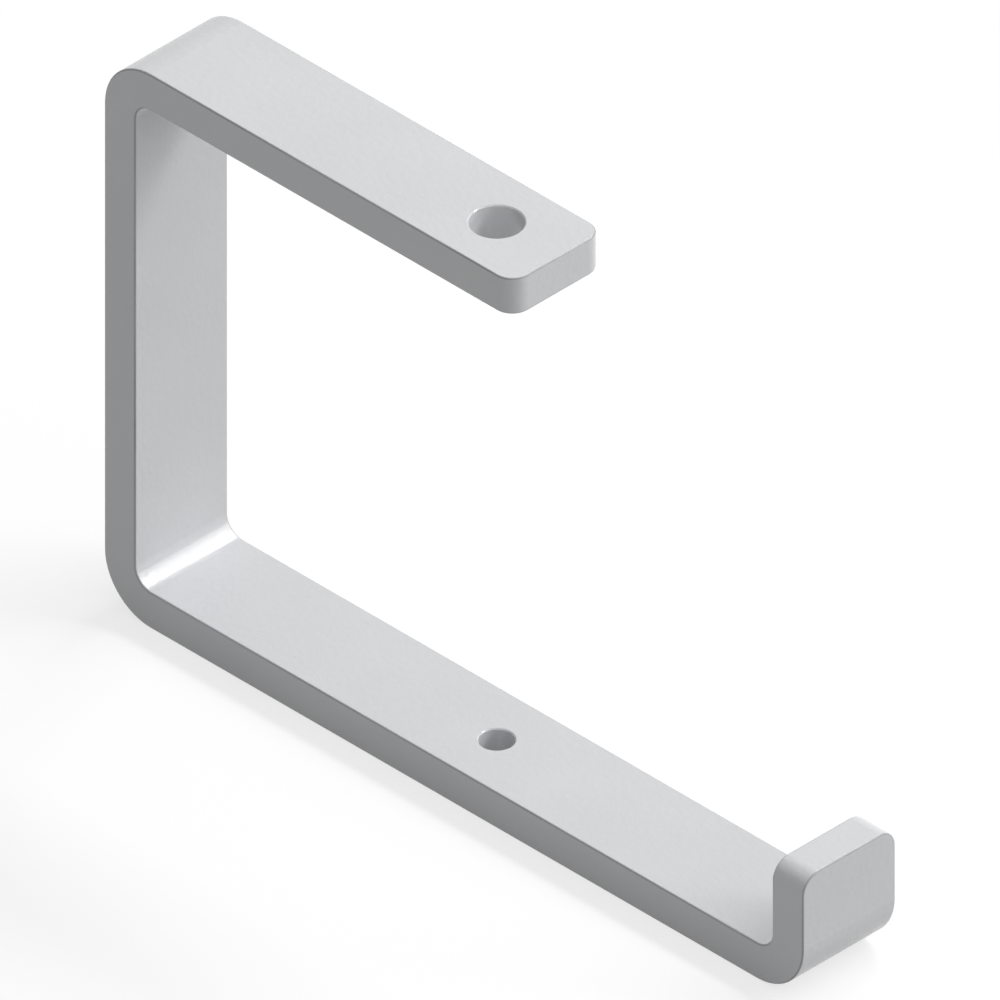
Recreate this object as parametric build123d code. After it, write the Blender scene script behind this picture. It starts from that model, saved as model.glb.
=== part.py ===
from build123d import *
import os

# Open-type cable hanger: one flat steel bar, bent three times into an open C. A short top arm
# takes the fixing rod, a long lower arm carries the cables, and a lip turned up at its end
# keeps them in. The cables are laid in sideways, between the top arm's end and the lip.
# The origin is the centre of the rod hole, at the middle of the top arm's thickness. +X runs
# along the arms to their free ends, +Y across the bar and +Z up. Lengths are millimetres.

# Flat bar, with its edges lightly rolled
BAR_WIDTH = 30.0
BAR_THICKNESS = 10.0
EDGE_RADIUS = 0.5

# Bends, all three made on the same former
INSIDE_BEND_RADIUS = 5.0

# Overall sizes, taken over the outside of the bent bar
HEIGHT = 155.0
TOP_ARM_LENGTH = 132.0
LOWER_ARM_LENGTH = 226.0
LIP_HEIGHT = 35.0

# Corners cut round at the two ends of the bar
TOP_ARM_CORNER_RADIUS = 5.0
LIP_CORNER_RADIUS = 5.0

# Holes on one upright line, the upper for an M12 rod and the lower for an M8 bolt
ROD_HOLE_DIAMETER = 13.0
ROD_HOLE_TO_ARM_END = 20.0
LOWER_HOLE_DIAMETER = 8.5
HOLE_RIM_CHAMFER = 0.3

# Where the bar's middle line runs and where its ends are
HALF_THICKNESS = BAR_THICKNESS / 2
MIDDLE_BEND_RADIUS = INSIDE_BEND_RADIUS + HALF_THICKNESS
TOP_ARM_END_X = ROD_HOLE_TO_ARM_END
BACK_X = TOP_ARM_END_X - TOP_ARM_LENGTH + HALF_THICKNESS
LIP_X = BACK_X + LOWER_ARM_LENGTH - BAR_THICKNESS
LOWER_ARM_Z = BAR_THICKNESS - HEIGHT
LIP_TOP_Z = LOWER_ARM_Z - HALF_THICKNESS + LIP_HEIGHT


def middle_line():
    """The line along the middle of the bar, from the top arm's end round to the lip's top."""
    corners = [
        (TOP_ARM_END_X, 0),
        (BACK_X, 0),
        (BACK_X, LOWER_ARM_Z),
        (LIP_X, LOWER_ARM_Z),
        (LIP_X, LIP_TOP_Z),
    ]
    return Plane.XZ * FilletPolyline(*corners, radius=MIDDLE_BEND_RADIUS)


def bent_bar():
    """The bar's section carried along its middle line, with square ends and sharp edges."""
    line = middle_line()
    across = Plane(line @ 0, x_dir=(0, 1, 0), z_dir=line % 0)
    return sweep(across * Rectangle(BAR_WIDTH, BAR_THICKNESS), path=line)


def top_arm_end(bar):
    """The flat face at the end of the top arm."""
    return bar.faces().filter_by(Axis.X).sort_by(Axis.Z)[-1]


def lip_end(bar):
    """The flat face at the top of the lip."""
    return bar.faces().filter_by(Axis.Z).sort_by(Axis.X)[-1]


def round_end_corners(bar):
    """The bar with the two corners at each of its ends rounded."""
    bar = fillet(top_arm_end(bar).edges().filter_by(Axis.Z), TOP_ARM_CORNER_RADIUS)
    return fillet(lip_end(bar).edges().filter_by(Axis.X), LIP_CORNER_RADIUS)


def roll_edges(bar):
    """The bar with all its edges rolled.

    With its corners rounded, the bar's outside face has one smooth edge all the way round, and
    so has its inside face. The lip's end shows a stretch of each, and the radius follows on.
    """
    return fillet(lip_end(bar).edges().filter_by(Axis.Y), EDGE_RADIUS)


def drilled_hole(diameter):
    """What a drill and a deburring cut take out of an arm, about the middle of its thickness.

    Each deburring cone starts at the chamfer's depth in the wall and runs as far past the face.
    """
    radius = diameter / 2
    cone_base_radius = radius + 2 * HOLE_RIM_CHAMFER
    outline = Polyline(
        (0, HALF_THICKNESS + HOLE_RIM_CHAMFER),
        (cone_base_radius, HALF_THICKNESS + HOLE_RIM_CHAMFER),
        (radius, HALF_THICKNESS - HOLE_RIM_CHAMFER),
        (radius, HOLE_RIM_CHAMFER - HALF_THICKNESS),
        (cone_base_radius, -HOLE_RIM_CHAMFER - HALF_THICKNESS),
        (0, -HOLE_RIM_CHAMFER - HALF_THICKNESS),
        close=True,
    )
    return revolve(Plane.XZ * make_face(outline), Axis.Z)


def hanger_bar():
    """The finished hanger, with the rod hole in the top arm and the lower hole right under it."""
    bar = roll_edges(round_end_corners(bent_bar()))
    bar -= drilled_hole(ROD_HOLE_DIAMETER)
    bar -= Pos(0, 0, LOWER_ARM_Z) * drilled_hole(LOWER_HOLE_DIAMETER)
    return bar


os.makedirs("parts", exist_ok=True)
export_step(hanger_bar(), "parts/hanger_bar.step")
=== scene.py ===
import bpy
import math
from mathutils import Matrix, Vector


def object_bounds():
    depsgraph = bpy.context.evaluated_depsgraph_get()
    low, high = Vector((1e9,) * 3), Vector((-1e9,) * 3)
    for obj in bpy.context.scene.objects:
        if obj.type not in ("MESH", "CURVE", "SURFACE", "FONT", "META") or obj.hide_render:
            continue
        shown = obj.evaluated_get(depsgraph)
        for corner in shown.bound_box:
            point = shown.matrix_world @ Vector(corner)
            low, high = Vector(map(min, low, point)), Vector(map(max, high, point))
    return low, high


# The looks of the open-type cable hanger: one bent steel bar with a light grey satin coat,
# standing on its lower arm in a plain studio. Metres, in the row's frame: the origin is the
# centre of the rod hole, +X runs along the arms to their free ends, +Y across the bar, +Z up.
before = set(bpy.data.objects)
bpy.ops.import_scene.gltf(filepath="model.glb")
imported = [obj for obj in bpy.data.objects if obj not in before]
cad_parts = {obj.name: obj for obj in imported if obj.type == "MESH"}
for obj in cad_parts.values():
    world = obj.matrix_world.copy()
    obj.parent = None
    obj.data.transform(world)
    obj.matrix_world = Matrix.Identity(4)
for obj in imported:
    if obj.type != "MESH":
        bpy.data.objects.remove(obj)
cad_low, cad_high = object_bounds()

BAR = "hanger_bar"
FLOOR_Z = cad_low.z
TOP_ARM_FACE_Z = cad_high.z

# Camera: the drawing is a true isometric view, square to the line (1, -1, 1)
TO_CAMERA = Vector((1, -1, 1)).normalized()
CAMERA_RIGHT = Vector((1, 1, 0)).normalized()
CAMERA_UP = Vector((-1, 1, 2)).normalized()
VIEW_WIDTH = 0.2287
ROD_HOLE_LEFT_OF_MIDDLE = 0.000746
ROD_HOLE_ABOVE_MIDDLE = 0.063678
CAMERA_DISTANCE = 0.8

# Sky: its mean brightness, and how much that rises along each axis
SKY_MEAN = 0.48
SKY_RISE = (0.23, 0.145, 0)

# Soft boxes: an arc of them, each as its degrees up from +X and its brightness. They lean as far
# behind the bar as the camera leans in front of it, so the lower inside bend shines in them and
# the flat faces don't.
SOFT_BOXES = ((22, 5.5), (47, 10), (72, 12.5), (97, 14))
SOFT_BOX_LEAN = math.asin(-TO_CAMERA.y)
SOFT_BOX_DISTANCE = 1.5
SOFT_BOX_LENGTH = 0.54
SOFT_BOX_WIDTH = 0.24

# Floor: it lights the hanger as a grey floor does. Where it is seen it is white, and near the
# middle it keeps the hanger's soft shadow.
FLOOR_RADIUS = 6.0
FLOOR_SIDES = 64
FLOOR_GREY = 0.32
SEEN_FLOOR_GREY = 0.32
SEEN_FLOOR_GLOW = 0.70
SHADOW_FADES_FROM = 0.20
SHADOW_FADES_TO = 0.34

# Coat: sprayed on and baked, so it has an orange peel and a fine grain, and is never quite even
# in tone. Over the rolled edges it is thin, so it is darker and duller there.
COAT_THICK = (0.692, 0.698, 0.712, 1)
COAT_THIN = (0.625, 0.632, 0.648, 1)
COAT_OVER_EDGES = (0.30, 0.305, 0.318, 1)
COAT_IOR = 1.58
SATIN = (0.17, 0.23)
EDGE_ROUGHNESS = 0.5
EDGE_SHARE = (0.64, 0.96)
CLOUDS_PER_METRE = 32.0
PEEL_PER_METRE = 560.0
GRAIN_PER_METRE = 3600.0
PEEL_HEIGHT = 0.00007
GRAIN_SHARE_OF_PEEL = 0.2

# Where the bar is straight: between its bends along X, and between its bends up and down
OUTSIDE_BEND_RADIUS = 0.015
STRAIGHT_X = (cad_low.x + OUTSIDE_BEND_RADIUS, cad_high.x - OUTSIDE_BEND_RADIUS)
STRAIGHT_Z = (cad_low.z + OUTSIDE_BEND_RADIUS, cad_high.z - OUTSIDE_BEND_RADIUS)

# Both holes are on the upright line through the origin, and lie within this distance of it
ROUND_HOLES = 0.009


def add_node(tree, kind, inputs=None, **settings):
    """A node in tree with these settings. Each input is a value, or the output linked to it."""
    made = tree.nodes.new(kind)
    for name, value in settings.items():
        setattr(made, name, value)
    for name, value in (inputs or {}).items():
        if isinstance(value, bpy.types.NodeSocket):
            tree.links.new(value, made.inputs[name])
        else:
            made.inputs[name].default_value = value
    return made


def empty_tree(owner):
    """The node tree of a material or world, with nothing in it."""
    owner.use_nodes = True
    owner.node_tree.nodes.clear()
    return owner.node_tree


def calculate(tree, operation, *values):
    """The result of one sum on numbers and outputs."""
    inputs = dict(enumerate(values))
    return add_node(tree, "ShaderNodeMath", inputs, operation=operation).outputs[0]


def length(tree, vector):
    """The length of a vector."""
    inputs = {0: vector}
    return add_node(tree, "ShaderNodeVectorMath", inputs, operation="LENGTH").outputs["Value"]


def mix_numbers(tree, share, first, second):
    """The first number where share is 0 and the second where it is 1."""
    return add_node(tree, "ShaderNodeMix", {0: share, 2: first, 3: second}).outputs[0]


def mix_colours(tree, share, first, second):
    """The first colour where share is 0 and the second where it is 1."""
    inputs = {0: share, 6: first, 7: second}
    return add_node(tree, "ShaderNodeMix", inputs, data_type="RGBA").outputs[2]


def mix_shaders(tree, share, first, second):
    """The first shader where share is 0 and the second where it is 1."""
    return add_node(tree, "ShaderNodeMixShader", {0: share, 1: first, 2: second}).outputs[0]


def white_light(tree, kind, strength):
    """A plain white emission or background of this strength."""
    return add_node(tree, kind, {"Color": (1, 1, 1, 1), "Strength": strength}).outputs[0]


def diffuse_grey(tree, grey):
    """A plain grey surface with no gloss."""
    return add_node(tree, "ShaderNodeBsdfDiffuse", {"Color": (grey, grey, grey, 1)}).outputs[0]


def seen_directly(tree):
    """1 where it is seen, also in a reflection or through glass, and 0 where it lights things."""
    ray = add_node(tree, "ShaderNodeLightPath").outputs
    seen = calculate(tree, "MAXIMUM", ray["Is Camera Ray"], ray["Is Glossy Ray"])
    return calculate(tree, "MAXIMUM", seen, ray["Is Transmission Ray"])


def studio_sky():
    """White where it is seen. The light it gives grows steadily along SKY_RISE."""
    world = bpy.data.worlds.new("studio_sky")
    tree = empty_tree(world)
    direction = add_node(tree, "ShaderNodeTexCoord").outputs["Generated"]
    rise = add_node(tree, "ShaderNodeVectorMath", {0: direction, 1: SKY_RISE},
                    operation="DOT_PRODUCT").outputs["Value"]
    strength = calculate(tree, "MAXIMUM", calculate(tree, "ADD", rise, SKY_MEAN), 0.0)
    lighting = white_light(tree, "ShaderNodeBackground", strength)
    backdrop = white_light(tree, "ShaderNodeBackground", 1.0)
    surface = mix_shaders(tree, seen_directly(tree), lighting, backdrop)
    add_node(tree, "ShaderNodeOutputWorld", {"Surface": surface})
    bpy.context.scene.world = world


def floor_material():
    """Grey as it lights the hanger. Where it is seen, white, with the shadow faint near by."""
    material = bpy.data.materials.new("studio_floor")
    tree = empty_tree(material)
    away = length(tree, add_node(tree, "ShaderNodeTexCoord").outputs["Object"])
    faded = add_node(tree, "ShaderNodeMapRange",
                     {"Value": away, "From Min": SHADOW_FADES_FROM, "From Max": SHADOW_FADES_TO},
                     interpolation_type="SMOOTHSTEP").outputs[0]
    glow = white_light(tree, "ShaderNodeEmission", SEEN_FLOOR_GLOW)
    near = add_node(tree, "ShaderNodeAddShader", {0: diffuse_grey(tree, SEEN_FLOOR_GREY), 1: glow})
    far = white_light(tree, "ShaderNodeEmission", 1.0)
    seen = mix_shaders(tree, faded, near.outputs[0], far)
    surface = mix_shaders(tree, seen_directly(tree), diffuse_grey(tree, FLOOR_GREY), seen)
    add_node(tree, "ShaderNodeOutputMaterial", {"Surface": surface})
    return material


def studio_floor():
    """A round floor under the lower arm."""
    turns = [math.tau * side / FLOOR_SIDES for side in range(FLOOR_SIDES)]
    rim = [(FLOOR_RADIUS * math.cos(turn), FLOOR_RADIUS * math.sin(turn), 0) for turn in turns]
    mesh = bpy.data.meshes.new("studio_floor")
    mesh.from_pydata(rim, [], [range(FLOOR_SIDES)])
    mesh.materials.append(floor_material())
    floor = bpy.data.objects.new("studio_floor", mesh)
    floor.location.z = FLOOR_Z
    bpy.context.scene.collection.objects.link(floor)


def facing(place, across, up, back):
    """The matrix of something at place that looks along -back."""
    turn = Matrix((across, up, back)).transposed()
    return Matrix.Translation(place) @ turn.to_4x4()


def soft_box(name, angle, brightness):
    """One soft box of the arc, aimed at the middle of the hanger."""
    lamp = bpy.data.lights.new(name, "AREA")
    lamp.shape = "RECTANGLE"
    lamp.size = SOFT_BOX_LENGTH
    lamp.size_y = SOFT_BOX_WIDTH
    lamp.energy = brightness * math.pi * SOFT_BOX_LENGTH * SOFT_BOX_WIDTH
    box = bpy.data.objects.new(name, lamp)
    bpy.context.scene.collection.objects.link(box)
    along = Vector((-math.sin(angle), 0, math.cos(angle)))
    outward = Vector((math.cos(angle), 0, math.sin(angle))) * math.cos(SOFT_BOX_LEAN)
    outward.y = math.sin(SOFT_BOX_LEAN)
    place = (cad_low + cad_high) / 2 + outward * SOFT_BOX_DISTANCE
    box.matrix_world = facing(place, along, outward.cross(along), outward)


def drawing_camera():
    """The drawing's own view, without perspective, as wide as its frame."""
    camera = bpy.data.cameras.new("camera")
    camera.type = "ORTHO"
    camera.ortho_scale = VIEW_WIDTH
    camera.clip_start = 0.01
    camera.clip_end = 20
    view = bpy.data.objects.new("camera", camera)
    bpy.context.scene.collection.objects.link(view)
    rod_hole = Vector((0, 0, TOP_ARM_FACE_Z))
    middle = rod_hole + CAMERA_RIGHT * ROD_HOLE_LEFT_OF_MIDDLE - CAMERA_UP * ROD_HOLE_ABOVE_MIDDLE
    place = middle + TO_CAMERA * CAMERA_DISTANCE
    view.matrix_world = facing(place, CAMERA_RIGHT, CAMERA_UP, TO_CAMERA)
    bpy.context.scene.camera = view


def patches(tree, place, per_metre, detail):
    """Soft uneven patches over the surface, mostly from 0.3 to 0.7."""
    inputs = {"Vector": place, "Scale": per_metre, "Detail": detail}
    return add_node(tree, "ShaderNodeTexNoise", inputs).outputs["Fac"]


def spread(tree, patchy, low, high):
    """Patches spread out from low to high."""
    inputs = {"Value": patchy, "From Min": 0.3, "From Max": 0.7, "To Min": low, "To Max": high}
    return add_node(tree, "ShaderNodeMapRange", inputs).outputs[0]


def between(tree, value, low, high):
    """1 where value is between low and high, and 0 elsewhere."""
    return calculate(tree, "MULTIPLY", calculate(tree, "GREATER_THAN", value, low),
                     calculate(tree, "LESS_THAN", value, high))


def over_edges(tree, place, normal):
    """1 over the rolled edges, and 0 on the flat and bent faces and in the holes.

    On an edge the surface turns from a broad face of the bar to its side. A broad face looks
    along Z on the arms and along X on the back plate and lip, and nowhere along Y.
    """
    x, y, z = add_node(tree, "ShaderNodeSeparateXYZ", {0: place}).outputs
    turn = add_node(tree, "ShaderNodeSeparateXYZ", {0: normal}).outputs
    along_x, along_y, along_z = (calculate(tree, "MULTIPLY", part, part) for part in turn)
    in_bend = calculate(tree, "SUBTRACT", 1.0, along_y)
    broad = mix_numbers(tree, between(tree, z, *STRAIGHT_Z), in_bend, along_x)
    broad = mix_numbers(tree, between(tree, x, *STRAIGHT_X), broad, along_z)
    # 8 * broad * (1 - broad): 0 on a broad face and on a side, and 2 halfway between them
    turned = calculate(tree, "MULTIPLY", broad, calculate(tree, "MULTIPLY_ADD", broad, -8.0, 8.0))
    across_holes = add_node(tree, "ShaderNodeCombineXYZ", {0: x, 1: y}).outputs[0]
    outside = calculate(tree, "GREATER_THAN", length(tree, across_holes), ROUND_HOLES)
    return calculate(tree, "MULTIPLY", calculate(tree, "MINIMUM", turned, 1.0), outside)


def light_grey_coat():
    """Satin light grey coat on steel."""
    material = bpy.data.materials.new("light_grey_coat")
    tree = empty_tree(material)
    on_bar = add_node(tree, "ShaderNodeTexCoord").outputs
    clouds = patches(tree, on_bar["Object"], CLOUDS_PER_METRE, 3.0)
    peel = patches(tree, on_bar["Object"], PEEL_PER_METRE, 1.0)
    grain = patches(tree, on_bar["Object"], GRAIN_PER_METRE, 2.0)
    edge = calculate(tree, "MULTIPLY", over_edges(tree, on_bar["Object"], on_bar["Normal"]),
                     spread(tree, clouds, *EDGE_SHARE))

    colour = mix_colours(tree, clouds, COAT_THIN, COAT_THICK)
    colour = mix_colours(tree, edge, colour, COAT_OVER_EDGES)
    mottle = mix_numbers(tree, 0.5, clouds, grain)
    satin = mix_numbers(tree, edge, spread(tree, mottle, *SATIN), EDGE_ROUGHNESS)
    height = calculate(tree, "MULTIPLY_ADD", grain, GRAIN_SHARE_OF_PEEL, peel)
    relief = {"Height": height, "Strength": 1.0, "Distance": PEEL_HEIGHT}
    bumpy = add_node(tree, "ShaderNodeBump", relief).outputs[0]
    coat = add_node(tree, "ShaderNodeBsdfPrincipled",
                    {"Base Color": colour, "Roughness": satin, "IOR": COAT_IOR, "Normal": bumpy})
    add_node(tree, "ShaderNodeOutputMaterial", {"Surface": coat.outputs[0]})
    return material


bpy.context.scene.view_settings.view_transform = "Standard"
studio_sky()
studio_floor()
for number, (degrees, brightness) in enumerate(SOFT_BOXES, 1):
    soft_box(f"soft_box_{number}", math.radians(degrees), brightness)
drawing_camera()

hanger_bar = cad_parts[BAR]
hanger_bar.material_slots[0].material = light_grey_coat()
